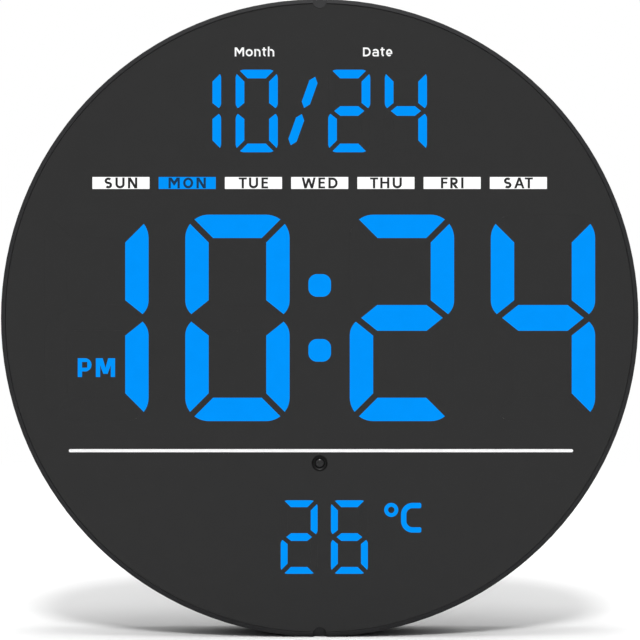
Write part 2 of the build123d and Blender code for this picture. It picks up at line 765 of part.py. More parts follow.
def front_housing():
    rim = Polygon(
        (rim_inner, -PARTING_DEPTH), (outer_radius, -PARTING_DEPTH),
        (outer_radius, RIM_FALL - case_depth), (rim_inner + RIM_LAND, -case_depth), (rim_inner, -case_depth),
        align=None,
    )
    shoulder = rim.vertices().sort_by_distance((outer_radius, RIM_FALL - case_depth, 0))[0]
    rim = fillet(shoulder, RIM_SHOULDER_ROUND)
    inner_edge = rim.vertices().sort_by_distance((rim_inner, -case_depth, 0))[0]
    rim = fillet(inner_edge, RIM_INNER_ROUND)
    holes = plate_openings + [disc(0, sensor_z, sensor_ring_radius)]
    plate = slab(Circle(rim_inner + CASE_WALL / 2) - holes, plate_back, plate_front)
    bosses = slab(discs(board_bosses, BOSS_RADIUS), board_front, plate_back)
    posts = slab(discs(housing_posts, POST_RADIUS), PARTING_DEPTH, plate_back)
    key_profile = joined(keys(KEY_RADIUS)) & Circle(rim_inner + RIM_LAND)
    key_lugs = slab(key_profile, plate_front, case_depth - KEY_SINK)
    boss_pilot_end = board_front + BOARD_SCREW_REACH + PILOT_END_GAP
    boss_pilots = slab(discs(board_bosses, BOSS_PILOT), board_front, boss_pilot_end)
    post_pilot_end = PARTING_DEPTH + HOUSING_SCREW_REACH + PILOT_END_GAP
    post_pilots = slab(discs(housing_posts, POST_PILOT), PARTING_DEPTH, post_pilot_end)
    body = revolve(rim, Axis.Y) + [plate, bosses, posts, key_lugs]
    return body - [boss_pilots, post_pilots, seam_groove()] - key_slopes()


def case_form(inset):
    """Filled rear half of the case: flat back, rounded rear edge, straight wall."""
    radius = outer_radius - inset
    profile = Polygon(
        (0, -inset), (radius, -inset), (radius, -PARTING_DEPTH), (0, -PARTING_DEPTH),
        align=None,
    )
    corner = profile.vertices().sort_by_distance((radius, -inset, 0))[0]
    return revolve(fillet(corner, REAR_ROUND - inset), Axis.Y)


def register_lip():
    """Ring on the back cover that centres it in the front housing."""
    inner = rim_inner - REGISTER_WALL
    root = slab(Circle(rim_inner) - Circle(inner), PARTING_DEPTH - REGISTER_ROOT, PARTING_DEPTH)
    lip = slab(Circle(rim_inner - REGISTER_CLEARANCE) - Circle(inner),
               PARTING_DEPTH, PARTING_DEPTH + REGISTER_HEIGHT)
    return root + lip


def stand_recess(grow):
    side = stand_recess_half + grow
    return rect(-side, side, -outer_radius - REAR_ROUND, stand_recess_top + grow)


def door_seat(grow):
    x, z = door_place
    half = DOOR_WIDTH / 2 + DOOR_GAP + grow
    bottom = z - DOOR_HEIGHT / 2 - DOOR_GAP - grow
    return rect(x - half, x + half, bottom, door_hinge_z + door_swing + grow)


def button_recess(grow):
    x, z = button_place
    side = BUTTON_RADIUS + BUTTON_RECESS_MARGIN + grow
    return Pos(x, z) * SlotOverall(2 * (BUTTON_PITCH + side), 2 * side)


def bay(grow):
    half = BAY_WIDTH / 2 + grow
    return rect(inlet_x - half, inlet_x + half, bay_bottom - grow, bay_top + grow)


def cable_channel(grow):
    half = CABLE_WIDTH / 2 + grow
    return rect(inlet_x - half, inlet_x + half, -outer_radius, bay_bottom)


def keyhole_pocket(grow):
    z = outer_radius - KEYHOLE_INSET
    side = KEYHOLE_RADIUS + KEYHOLE_ROOM + grow
    return rect(-side, side, z - side, z + KEYHOLE_RISE + side)


def keyhole():
    z = outer_radius - KEYHOLE_INSET
    slot = rect(-KEYHOLE_SLOT / 2, KEYHOLE_SLOT / 2, z, z + KEYHOLE_RISE)
    return disc(0, z, KEYHOLE_RADIUS) + slot + disc(0, z + KEYHOLE_RISE, KEYHOLE_SLOT / 2)


def button_places():
    x, z = button_place
    return [(x + step * BUTTON_PITCH, z) for step in (-1, 0, 1)]


def key_board_bosses():
    x, z = button_place
    return [(x + side * key_board_boss_reach, z) for side in (-1, 1)]


def vent_faces():
    x, z = vent_place
    first = x - VENT_PITCH * (VENT_COUNT - 1) / 2
    slot = Rot(0, 0, 90) * SlotOverall(VENT_LENGTH, VENT_WIDTH)
    return [Pos(first + VENT_PITCH * i, z) * slot for i in range(VENT_COUNT)]


def buzzer_ports():
    x, z = buzzer_place
    port = Circle(BUZZER_PORT_RADIUS)
    ring = PolarLocations(BUZZER_RADIUS / 2, BUZZER_PORT_COUNT) * port
    return [Pos(x, z) * face for face in ring + [port]]


def contact_slots(grow):
    """Places of the two contact legs: beside the cell and under it."""
    x, z = door_place
    half = CONTACT_WIDTH / 2 + grow
    side = x - CELL_RADIUS - CONTACT_THICKNESS
    under = x + CELL_RADIUS - CONTACT_LEG_INSET
    return [
        rect(side - grow, side + CONTACT_THICKNESS + grow, z - half, z + half),
        rect(under - grow, under + CONTACT_THICKNESS + grow, z - half, z + half),
    ]


def cover_walls():
    """Everything that stands up from the inside of the back cover."""
    form = case_form(0)
    stand_box = slab(stand_recess(STAND_RECESS_WALL), 0, stand_floor_depth + STAND_FLOOR)
    channel_box = slab(cable_channel(BAY_WALL), 0, CABLE_DEPTH + BAY_WALL)
    hanger_depth = CASE_WALL + KEYHOLE_POCKET_DEPTH + KEYHOLE_POCKET_WALL
    return [
        stand_box & form,
        channel_box & form,
        slab(bay(BAY_WALL), 0, bay_depth + BAY_WALL),
        slab(door_seat(DOOR_WALL), 0, cell_floor + DOOR_WALL),
        slab(button_recess(CASE_WALL), 0, button_wall_front),
        slab(keyhole_pocket(KEYHOLE_POCKET_WALL), 0, hanger_depth),
        slab(discs(housing_posts, POST_RADIUS), 0, PARTING_DEPTH),
        slab(discs(key_board_bosses(), KEY_BOARD_BOSS_RADIUS), 0, key_board_near),
        register_lip(),
    ]


def door_cuts():
    """Seat, hinge trough, pin sockets, cell pocket and thumb notch of the battery door."""
    x, z = door_place
    bottom = z - DOOR_HEIGHT / 2
    half = DOOR_WIDTH / 2 + DOOR_GAP
    trough = rect(x - half, x + half, door_hinge_z - door_swing, door_hinge_z + door_swing)
    socket = half + DOOR_PIN_LENGTH
    return [
        slab(door_seat(0), 0, door_back + DOOR_SEAT_GAP),
        slab(trough, 0, door_hinge_depth + door_swing),
        rod_x(x - socket, x + socket, door_hinge_depth, door_hinge_z, DOOR_PIN_RADIUS + DOOR_PIN_RUNNING),
        slab(disc(x, z, CELL_RADIUS + CELL_CLEARANCE), 0, cell_floor),
        slab(joined(contact_slots(CONTACT_GAP)), door_back, cell_floor + DOOR_WALL),
        slab(disc(x, bottom, DOOR_THUMB_RADIUS), 0, DOOR_THUMB_DEPTH),
    ]


def cover_cuts():
    """Everything that opens the back cover."""
    shoulder = PARTING_DEPTH - HOUSING_SCREW_SHOULDER
    pin_half = stand_recess_half + STAND_PIN_ENGAGE
    return door_cuts() + [
        slab(stand_recess(0), 0, stand_floor_depth),
        rod_x(-pin_half, pin_half, stand_hinge_depth, stand_hinge_z, STAND_PIN_RADIUS + STAND_PIN_SEAT),
        slab(bay(0), 0, bay_depth),
        slab(cable_channel(0), 0, CABLE_DEPTH),
        rod_z(bay_top, jack_bottom, inlet_x, jack_axis_depth, JACK_NOSE_RADIUS + JACK_GAP),
        slab(button_recess(0), 0, BUTTON_RECESS_DEPTH),
        slab(discs(button_places(), BUTTON_RADIUS + BUTTON_GAP), 0, button_wall_front),
        slab(keyhole_pocket(0), CASE_WALL, CASE_WALL + KEYHOLE_POCKET_DEPTH),
        slab(keyhole(), 0, CASE_WALL),
        slab(joined(vent_faces()), 0, CASE_WALL),
        slab(joined(buzzer_ports()), 0, CASE_WALL),
        slab(discs(housing_posts, HOUSING_SCREW_WELL), 0, shoulder),
        slab(discs(housing_posts, HOUSING_SCREW_HOLE), 0, PARTING_DEPTH),
        slab(discs(key_board_bosses(), BOSS_PILOT), CASE_WALL, key_board_near),
        seam_groove(),
    ]


def back_cover():
    shell = case_form(0) - case_form(CASE_WALL)
    return shell + cover_walls() - cover_cuts()


# Display carriers and boards

def reflector(frame, wells, extra=()):
    profile = frame - (grown(wells, -WELL_LEDGE) + list(extra))
    return slab(profile, board_front, panel_back)


def leds(faces, size):
    places = [face.center(CenterOf.BOUNDING_BOX) for face in faces]
    chips = [Pos(place.X, place.Y) * Rectangle(size, size) for place in places]
    return slab(joined(chips), board_front, board_front + LED_HEIGHT)


def board(profile, bosses):
    """Board cut to the case, notched round the posts and drilled for its screws."""
    profile = profile & Circle(rim_inner - BOARD_EDGE_GAP)
    profile -= discs(housing_posts, POST_RADIUS + BOARD_EDGE_GAP)
    return slab(profile - discs(bosses, BOARD_HOLE_RADIUS), board_back, board_front)


def time_board():
    profile = rect(-time_board_side, time_board_side, -time_board_half, time_board_half)
    return board(profile, time_bosses)


def calendar_board():
    side = weekday_box.max.X + BOARD_MARGIN
    knee = calendar_low_boss[1] + BOSS_RADIUS + BOSS_MARGIN
    crown = calendar_high_boss[0] + BOSS_RADIUS + BOSS_MARGIN
    top = date_box.max.Y + BOARD_MARGIN
    profile = Polygon(
        (-side, calendar_bottom), (side, calendar_bottom), (side, knee),
        (crown, top), (-crown, top), (-side, knee),
        align=None,
    )
    return board(profile, calendar_bosses)


def temperature_board():
    edge = BOSS_RADIUS + BOSS_MARGIN
    profile = rect(-TEMP_BOSS_X - edge, max(temp_box.max.X + BOARD_MARGIN, TEMP_BOSS_X + edge),
                   temp_box.min.Y - BOARD_MARGIN, -time_board_half - BOARD_GAP)
    return board(profile, temp_bosses)


def board_screws():
    return Compound([
        screw(x, z, board_back, BOARD_THICKNESS + BOARD_SCREW_REACH, BOARD_SCREW_RADIUS,
              BOARD_SCREW_HEAD, BOARD_SCREW_HEAD_HEIGHT)
        for x, z in board_bosses
    ])


def housing_screws():
    seat = PARTING_DEPTH - HOUSING_SCREW_SHOULDER
    return Compound([
        screw(x, z, seat, HOUSING_SCREW_SHOULDER + HOUSING_SCREW_REACH, HOUSING_SCREW_RADIUS,
              HOUSING_SCREW_HEAD, HOUSING_SCREW_HEAD_HEIGHT)
        for x, z in housing_posts
    ])


# Parts on the rear of the boards

def behind_board(profile, height):
    return slab(profile, board_back - height, board_back)


def chip(place, size, leads):
    x, z = place
    length, width = size
    first = x - LEAD_PITCH * (leads - 1) / 2
    strip = Rectangle(LEAD_WIDTH, width + 2 * LEAD_REACH)
    feet = [Pos(first + LEAD_PITCH * i, z) * strip for i in range(leads)]
    body = behind_board(Pos(x, z) * Rectangle(length, width), CHIP_HEIGHT)
    return body + behind_board(joined(feet), LEAD_THICKNESS)


def driver_chips():
    return Compound([chip(place, DRIVER_SIZE, DRIVER_LEAD_COUNT) for place in DRIVER_PLACES])


def crystal():
    length, width = CRYSTAL_SIZE
    return behind_board(Pos(*CRYSTAL_PLACE) * SlotOverall(length, width), CRYSTAL_HEIGHT)


def capacitors():
    x = time_board_side - CAPACITOR_INSET
    z = CAPACITOR_RISE - time_board_half
    return behind_board(discs([(x, z), (x - CAPACITOR_PITCH, z)], CAPACITOR_RADIUS), CAPACITOR_HEIGHT)


def buzzer():
    x, z = buzzer_place
    body = behind_board(disc(x, z, BUZZER_RADIUS), BUZZER_HEIGHT)
    port = slab(disc(x, z, BUZZER_PORT_RADIUS), board_back - BUZZER_HEIGHT, board_back - BUZZER_HEIGHT / 2)
    return body - port


def thermistor():
    z = temp_z + THERMISTOR_RISE
    middle = board_back - THERMISTOR_STANDOFF
    bead = Pos(THERMISTOR_X, -middle, z) * Sphere(THERMISTOR_RADIUS)
    half = THERMISTOR_PITCH / 2
    legs = discs([(THERMISTOR_X - half, z), (THERMISTOR_X + half, z)], THERMISTOR_LEG / 2)
    return bead + slab(legs, middle, board_back)


def ribbon(x, low, high):
    """Flat cable arched over the gap between two boards."""
    arch = rect(-board_back, RIBBON_ARCH - board_back, low, high)
    arch = fillet(arch.vertices().group_by(Axis.X)[-1], RIBBON_ROUND)
    inside = rect(-board_back, RIBBON_ARCH - RIBBON_THICKNESS - board_back,
                  low + RIBBON_THICKNESS, high - RIBBON_THICKNESS)
    inside = fillet(inside.vertices().group_by(Axis.X)[-1], RIBBON_ROUND - RIBBON_THICKNESS)
    return extrude(Plane.YZ.offset(x - RIBBON_WIDTH / 2) * (arch - inside), RIBBON_WIDTH)


def calendar_ribbon():
    return ribbon(CALENDAR_RIBBON_X, time_board_half - RIBBON_LANDING, calendar_bottom + RIBBON_LANDING)


def temperature_ribbon():
    return ribbon(TEMP_RIBBON_X, -calendar_bottom - RIBBON_LANDING, RIBBON_LANDING - time_board_half)


# Fold-out stand

def stand_pad():
    low = STAND_SINK - outer_radius
    strip = rect(-STAND_PAD_WIDTH / 2, STAND_PAD_WIDTH / 2, low, low + STAND_PAD_HEIGHT)
    inner_face = STAND_SINK + STAND_THICKNESS
    return slab(strip, inner_face - STAND_PAD_THICKNESS, inner_face) & case_form(STAND_SINK)


def stand_leg():
    half = STAND_WIDTH / 2
    plate = rect(-half, half, -outer_radius, stand_hinge_z + stand_heel)
    leg = slab(plate, STAND_SINK, STAND_SINK + STAND_THICKNESS) & case_form(STAND_SINK)
    low = GRIP_RISE - outer_radius
    grips = [Pos(0, low + GRIP_PITCH * i) * SlotOverall(GRIP_WIDTH, GRIP_HEIGHT) for i in range(GRIP_COUNT)]
    bore = rod_x(-half, half, stand_hinge_depth, stand_hinge_z, STAND_PIN_RADIUS + STAND_PIN_RUNNING)
    return leg - [slab(joined(grips), STAND_SINK, STAND_SINK + GRIP_DEPTH), bore, stand_pad()]


def stand_pin():
    half = stand_recess_half + STAND_PIN_ENGAGE
    return rod_x(-half, half, stand_hinge_depth, stand_hinge_z, STAND_PIN_RADIUS)


# Backup battery

def battery_door():
    x, z = door_place
    half = DOOR_WIDTH / 2
    leaf = slab(Pos(x, z) * Rectangle(DOOR_WIDTH, DOOR_HEIGHT), DOOR_SINK, door_back)
    pin = half + DOOR_PIN_LENGTH
    return leaf + rod_x(x - pin, x + pin, door_hinge_depth, door_hinge_z, DOOR_PIN_RADIUS)


def coin_cell():
    return slab(disc(*door_place, CELL_RADIUS), cell_near, cell_far)


def battery_contacts():
    x, z = door_place
    side_leg, under_leg = contact_slots(0)
    side = slab(side_leg, (cell_near + cell_far) / 2, board_back)
    leaf = rect(x - CONTACT_WIDTH, x + CELL_RADIUS - CONTACT_LEG_INSET + CONTACT_THICKNESS,
                z - CONTACT_WIDTH / 2, z + CONTACT_WIDTH / 2)
    under = slab(leaf, cell_far, cell_far + CONTACT_THICKNESS) + slab(under_leg, cell_far, board_back)
    return Compound([side, under])


# Buttons

def button_cap(place):
    x, z = place
    crown = slab(disc(x, z, BUTTON_RADIUS), BUTTON_SINK, button_end)
    crown = fillet(crown.faces().sort_by(Axis.Y)[-1].edges(), BUTTON_ROUND)
    return crown + slab(disc(x, z, BUTTON_RADIUS + BUTTON_FLANGE), button_flange_near, button_end)


def plunger(place):
    return slab(disc(*place, PLUNGER_RADIUS), button_end, tact_near + PLUNGER_INSERT)


def tact_switches():
    well = PLUNGER_INSERT + BUTTON_TRAVEL + PLUNGER_END_GAP
    bodies = joined([Pos(x, z) * Rectangle(TACT_SIZE, TACT_SIZE) for x, z in button_places()])
    wells = discs(button_places(), PLUNGER_RADIUS + PLUNGER_CLEARANCE)
    return slab(bodies, tact_near, key_board_near) - slab(wells, tact_near, tact_near + well)


def key_board():
    length = 2 * (key_board_boss_reach + KEY_BOARD_END)
    profile = Pos(*button_place) * Rectangle(length, KEY_BOARD_HEIGHT)
    return slab(profile - discs(key_board_bosses(), BOARD_HOLE_RADIUS), key_board_near, key_board_far)


def key_board_screws():
    reach = key_board_far - CASE_WALL - PILOT_END_GAP
    return Compound([
        screw(x, z, key_board_far, reach, BOARD_SCREW_RADIUS, BOARD_SCREW_HEAD, BOARD_SCREW_HEAD_HEIGHT,
              forward=False)
        for x, z in key_board_bosses()
    ])


def key_header():
    x, z = button_place
    return slab(Pos(x, z + HEADER_RISE) * Rectangle(*HEADER_SIZE), key_board_far, board_back)


# Power inlet

def dc_jack():
    half = JACK_WIDTH / 2
    plan = rect(inlet_x - half, inlet_x + half, jack_bottom, jack_bottom + JACK_LENGTH)
    body = behind_board(plan, JACK_HEIGHT)
    nose_end = jack_bottom - JACK_NOSE_LENGTH
    nose = rod_z(nose_end, jack_bottom, inlet_x, jack_axis_depth, JACK_NOSE_RADIUS)
    bore = rod_z(nose_end, nose_end + JACK_BORE_DEPTH, inlet_x, jack_axis_depth, JACK_BORE_RADIUS)
    return body + nose - bore


def jack_contact():
    top = jack_bottom - JACK_NOSE_LENGTH + JACK_BORE_DEPTH
    return rod_z(top - JACK_PIN_LENGTH, top, inlet_x, jack_axis_depth, JACK_PIN_RADIUS)


set_place, up_place, down_place = button_places()
pm_well = [around(afternoon, -WELL_LEDGE)]
celsius_wells = [around([sign], -WELL_LEDGE) for sign in celsius]

PARTS = {
    "front_panel": front_panel(),
    "panel_tape": panel_tape(),
    "front_housing": front_housing(),
    "time_segments_lit": windows(time_lit),
    "time_segments_unlit": windows(time_unlit),
    "colon_dots": windows(colon),
    "date_segments_lit": windows(date_lit),
    "date_segments_unlit": windows(date_unlit),
    "date_slash": windows(slash),
    "temperature_segments_lit": windows(temp_lit),
    "temperature_segments_unlit": windows(temp_unlit),
    "celsius_sign": labels(celsius),
    "pm_indicator": labels(afternoon),
    "weekday_windows": windows(weekdays),
    "today_window": windows(today),
    "divider_line": slab(divider, panel_front - LINE_INLAY, panel_front),
    "time_reflector": reflector(time_frame, time_wells, pm_well),
    "date_reflector": reflector(date_frame, date_wells),
    "weekday_reflector": reflector(weekday_frame, weekday_wells),
    "temperature_reflector": reflector(temp_frame, temp_wells, celsius_wells),
    "time_leds": leds(time_wells + afternoon, LED_LARGE),
    "date_leds": leds(date_wells, LED_SMALL),
    "weekday_leds": leds(weekday_wells, LED_LARGE),
    "temperature_leds": leds(temp_wells + celsius, LED_SMALL),
    "time_board": time_board(),
    "calendar_board": calendar_board(),
    "temperature_board": temperature_board(),
    "microcontroller": chip(MCU_PLACE, MCU_SIZE, MCU_LEAD_COUNT),
    "driver_chips": driver_chips(),
    "crystal": crystal(),
    "capacitors": capacitors(),
    "buzzer": buzzer(),
    "thermistor": thermistor(),
    "calendar_ribbon": calendar_ribbon(),
    "temperature_ribbon": temperature_ribbon(),
    "sensor_bezel": sensor_bezel(),
    "sensor_dome": sensor_dome(),
    "board_screws": board_screws(),
    "back_cover": back_cover(),
    "housing_screws": housing_screws(),
    "kickstand": stand_leg(),
    "kickstand_pad": stand_pad(),
    "kickstand_pin": stand_pin(),
    "battery_door": battery_door(),
    "coin_cell": coin_cell(),
    "battery_contacts": battery_contacts(),
    "set_button": button_cap(set_place),
    "up_button": button_cap(up_place),
    "down_button": button_cap(down_place),
    "set_plunger": plunger(set_place),
    "up_plunger": plunger(up_place),
    "down_plunger": plunger(down_place),
    "tact_switches": tact_switches(),
    "key_board": key_board(),
    "key_board_screws": key_board_screws(),
    "key_header": key_header(),
    "dc_jack": dc_jack(),
    "jack_contact": jack_contact(),
}

os.makedirs("parts", exist_ok=True)
for name, shape in PARTS.items():
    export_step(shape, f"parts/{name}.step")
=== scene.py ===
import json
import math

import bmesh
import bpy
from mathutils import Matrix, Vector

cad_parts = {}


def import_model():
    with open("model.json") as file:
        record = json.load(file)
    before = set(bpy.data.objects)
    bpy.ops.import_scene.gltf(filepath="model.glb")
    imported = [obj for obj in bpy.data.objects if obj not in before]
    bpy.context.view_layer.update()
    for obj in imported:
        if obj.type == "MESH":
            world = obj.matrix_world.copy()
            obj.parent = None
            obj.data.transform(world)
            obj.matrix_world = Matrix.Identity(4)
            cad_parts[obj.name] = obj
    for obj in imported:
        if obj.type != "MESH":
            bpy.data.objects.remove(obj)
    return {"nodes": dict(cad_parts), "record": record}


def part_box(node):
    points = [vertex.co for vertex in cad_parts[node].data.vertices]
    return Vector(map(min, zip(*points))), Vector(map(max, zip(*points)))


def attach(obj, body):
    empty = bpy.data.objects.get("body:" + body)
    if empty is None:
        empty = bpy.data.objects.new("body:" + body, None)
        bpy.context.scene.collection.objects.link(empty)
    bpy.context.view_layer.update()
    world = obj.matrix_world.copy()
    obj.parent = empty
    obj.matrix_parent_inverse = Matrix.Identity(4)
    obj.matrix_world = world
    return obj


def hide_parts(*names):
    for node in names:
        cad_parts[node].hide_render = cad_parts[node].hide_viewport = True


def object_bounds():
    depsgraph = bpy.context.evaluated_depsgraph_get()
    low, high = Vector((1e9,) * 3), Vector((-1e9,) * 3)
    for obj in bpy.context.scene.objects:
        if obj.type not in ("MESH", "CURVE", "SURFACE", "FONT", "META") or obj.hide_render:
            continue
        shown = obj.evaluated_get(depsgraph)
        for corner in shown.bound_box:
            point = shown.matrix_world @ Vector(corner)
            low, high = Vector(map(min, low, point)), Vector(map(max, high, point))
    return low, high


# Looks of a round digital wall clock. Sizes are in millimetres and are scaled to metres where they are used.
# Seen from the front, X is right, Z is up and Y runs to the wall.

MM = 0.001

# Camera, level with the middle of the clock
CAMERA_LENS = 85.0
CAMERA_SENSOR = 36.0
CAMERA_DISTANCE = 709.4
CAMERA_RIGHT = 0.15
CAMERA_DROP = 0.99

# Studio light: direction to each lamp, strength and apparent size
KEY_FROM = (0.0, -0.50, 0.866)
KEY_STRENGTH = 1.55
KEY_ANGLE_DEG = 12.0
TOP_FROM = (0.0, -0.05, 1.0)
TOP_STRENGTH = 1.15
TOP_ANGLE_DEG = 22.0
REAR_FROM = (0.30, 0.40, 0.87)
REAR_STRENGTH = 0.1
REAR_ANGLE_DEG = 30.0

# Light of the sky, and the floor, which fades to white between two distances from the clock
HORIZON_LIGHT = 0.05
ZENITH_LIGHT = 1.1
FLOOR_SIZE = 12000.0
FLOOR_WHITE_NEAR = 420.0
FLOOR_WHITE_FAR = 900.0
FLOOR_SHADE = 0.86
FLOOR_CLOUD = 60.0
FLOOR_UNEVEN = 0.01

# Words on the front: heights of capitals in millimetres, pens and spaces as shares of them
WORD_CAP = 4.2
WORD_PEN = 0.185
WORD_SPACE = 0.17
WORD_RISE = 6.25
MONTH_X = -30.6
DATE_X = 27.2
WEEKDAYS = ("SUN", "MON", "TUE", "WED", "THU", "FRI", "SAT")
WEEKDAY_CAP = 5.05
WEEKDAY_PEN = 0.215
WEEKDAY_SPACE = 0.31
INK_THICKNESS = 0.04
INK_SINK = 0.03

# Marks on the back
MARK_CAP = 3.0
MARK_PEN = 0.17
MARK_SPACE = 0.25
BUTTON_MARKS = (("set_button", "SET"), ("up_button", "+"), ("down_button", "-"))
BUTTON_MARK_RISE = 9.0
INLET_MARK = "DC IN"
INLET_MARK_RISE = 5.0
CELL_MARK_CAP = 6.0
ARROW_WIDTH = 6.0
ARROW_LENGTH = 5.0
ARROW_RISE = 5.0
RIB_COUNT = 4
RIB_LENGTH = 14.0
RIB_WIDTH = 0.8
RIB_PITCH = 2.0
RIB_RISE = 13.0
RAISED = 0.22
RAISED_BEVEL = 0.08
RAISED_BEVEL_STEPS = 2
BAR_STEPS = 8

# Sensor: bulge of the lens, and the dished ring round it
SENSOR_LENS_RISE = 1.25
SENSOR_GAP = 0.22
SENSOR_LAND = 0.29
SENSOR_RING_DEPTH = 1.15
SENSOR_RING_TURN_DEG = 65.0
SENSOR_SHARP_DEG = 35.0
SENSOR_STEPS = 96

# Distances within which points are joined, on the grid of the letters and in metres
WELD_GRID = 1e-6
WELD_METRES = 1e-7

# Sockets of a mix node that mixes colours
MIX_FIRST = 6
MIX_SECOND = 7
MIX_RESULT = 2

# Range of a noise that is used, and how far roughness strays to both sides
NOISE_LOW = 0.3
NOISE_HIGH = 0.7
PLASTIC_SPREAD = 0.05
INK_SPREAD = 0.08
METAL_SPREAD = 0.08

# Plastics, lit diffusers and ink: shine, unevenness, and sizes of clouds and grain in millimetres
PLASTIC_CLOUD = 9.0
LIT_SPECULAR = 0.01
LIT_CLOUD = 6.0
LIT_UNEVEN = 0.015
LIT_GRAIN = 0.8
LIT_SMOOTHEST = 0.5
LIT_ROUGHEST = 0.65
INK_SPECULAR = 0.15
INK_ROUGHNESS = 0.6
INK_CLOUD = 0.7
INK_UNEVEN = 0.02
INK_GRAIN = 0.3

# Metal: shine, and size, detail, unevenness and depth of the drawn lines
METAL_SPECULAR = 0.5
METAL_LINE = 4.0
METAL_DETAIL = 4.0
METAL_UNEVEN = 0.08
METAL_DEPTH = 0.004

# Circuit boards and flat cables
TRACK_PITCH = 12.0
TRACK_WIDTH = 0.035
TRACK_OFFSET = 0.37
TRACK_DEPTH = 0.03
MASK_SPECULAR = 0.5
MASK_ROUGHNESS = 0.35
MASK_CLOUD = 3.0
MASK_UNEVEN = 0.12
WIRE_PITCH = 1.27
WAVE_SCALE = 0.314
WIRE_DEPTH = 0.3
WIRE_SHADE = 0.7
CABLE_SPECULAR = 0.4
CABLE_GRAIN = 0.6
CABLE_SMOOTHEST = 0.45
CABLE_ROUGHEST = 0.6

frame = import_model()
cad_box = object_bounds()


# Shader building

def linear(level):
    """Linear value of one eight-bit display level."""
    share = level / 255
    if share <= 0.04045:
        return share / 12.92
    return ((share + 0.055) / 1.055) ** 2.4


def tint(red, green, blue):
    """Colour of three eight-bit display levels."""
    return (linear(red), linear(green), linear(blue), 1.0)


def scaled(colour, amount):
    return tuple(channel * amount for channel in colour[:3]) + (1.0,)


def add(tree, kind, values=None, **settings):
    """New node with its settings, its inputs given as plain values or as sockets to link."""
    node = tree.nodes.new("ShaderNode" + kind)
    for name, value in settings.items():
        setattr(node, name, value)
    for name, value in (values or {}).items():
        fill(tree, node.inputs[name], value)
    return node


def fill(tree, socket, value):
    if isinstance(value, bpy.types.NodeSocket):
        tree.links.new(value, socket)
    else:
        socket.default_value = value


def start(name, specular):
    """Material with one shader."""
    material = bpy.data.materials.new(name)
    material.use_nodes = True
    tree = material.node_tree
    tree.nodes.clear()
    shader = add(tree, "BsdfPrincipled", {"Specular IOR Level": specular})
    add(tree, "OutputMaterial", {"Surface": shader.outputs["BSDF"]})
    return material, tree, shader


def where(tree, stretch=(1.0, 1.0, 1.0), turn=(0.0, 0.0, 0.0)):
    """Place on the object, stretched and turned."""
    spot = add(tree, "TexCoord").outputs["Object"]
    return add(tree, "Mapping", {"Vector": spot, "Scale": stretch, "Rotation": turn}).outputs["Vector"]


def noise(tree, spot, size, detail=2.0):
    return add(tree, "TexNoise", {"Vector": spot, "Scale": 1 / (size * MM), "Detail": detail}).outputs["Fac"]


def between(tree, factor, low, high):
    """Noise stretched to run from one value to another."""
    values = {"Value": factor, "From Min": NOISE_LOW, "From Max": NOISE_HIGH, "To Min": low, "To Max": high}
    return add(tree, "MapRange", values).outputs["Result"]


def mixed(tree, factor, first, second):
    node = add(tree, "Mix", data_type="RGBA")
    fill(tree, node.inputs["Factor"], factor)
    fill(tree, node.inputs[MIX_FIRST], first)
    fill(tree, node.inputs[MIX_SECOND], second)
    return node.outputs[MIX_RESULT]


def varied(tree, factor, colour, share):
    """Colour that runs from a little darker to a little lighter."""
    return mixed(tree, between(tree, factor, 0.0, 1.0), scaled(colour, 1 - share), scaled(colour, 1 + share))


def bump(tree, height, depth):
    return add(tree, "Bump", {"Height": height, "Distance": depth * MM, "Strength": 1.0}).outputs["Normal"]


# Materials

def moulded(name, colour, roughness, specular, grain, depth, mottle=0.05):
    """Moulded plastic or rubber: cloudy pigment and a fine grain from the tool."""
    material, tree, shader = start(name, specular)
    spot = where(tree)
    fine = noise(tree, spot, grain)
    fill(tree, shader.inputs["Base Color"], varied(tree, noise(tree, spot, PLASTIC_CLOUD), colour, mottle))
    rough = between(tree, fine, roughness - PLASTIC_SPREAD, roughness + PLASTIC_SPREAD)
    fill(tree, shader.inputs["Roughness"], rough)
    fill(tree, shader.inputs["Normal"], bump(tree, fine, depth))
    return material


def lit(name, glow, body):
    """Diffuser lit from behind, almost even."""
    material, tree, shader = start(name, LIT_SPECULAR)
    shader.inputs["Base Color"].default_value = body
    shader.inputs["Emission Strength"].default_value = 1.0
    spot = where(tree)
    fill(tree, shader.inputs["Emission Color"], varied(tree, noise(tree, spot, LIT_CLOUD), glow, LIT_UNEVEN))
    rough = between(tree, noise(tree, spot, LIT_GRAIN), LIT_SMOOTHEST, LIT_ROUGHEST)
    fill(tree, shader.inputs["Roughness"], rough)
    return material


def ink(name, colour):
    """Printed ink, a little uneven in its cover."""
    material, tree, shader = start(name, INK_SPECULAR)
    spot = where(tree)
    fill(tree, shader.inputs["Base Color"], varied(tree, noise(tree, spot, INK_CLOUD), colour, INK_UNEVEN))
    grain = noise(tree, spot, INK_GRAIN)
    rough = between(tree, grain, INK_ROUGHNESS - INK_SPREAD, INK_ROUGHNESS + INK_SPREAD)
    fill(tree, shader.inputs["Roughness"], rough)
    return material


def metal(name, colour, roughness, stretch):
    """Metal with fine drawn lines along the axis that isn't stretched."""
    material, tree, shader = start(name, METAL_SPECULAR)
    shader.inputs["Metallic"].default_value = 1.0
    lines = noise(tree, where(tree, stretch), METAL_LINE, METAL_DETAIL)
    fill(tree, shader.inputs["Base Color"], varied(tree, lines, colour, METAL_UNEVEN))
    rough = between(tree, lines, roughness - METAL_SPREAD, roughness + METAL_SPREAD)
    fill(tree, shader.inputs["Roughness"], rough)
    fill(tree, shader.inputs["Normal"], bump(tree, lines, METAL_DEPTH))
    return material


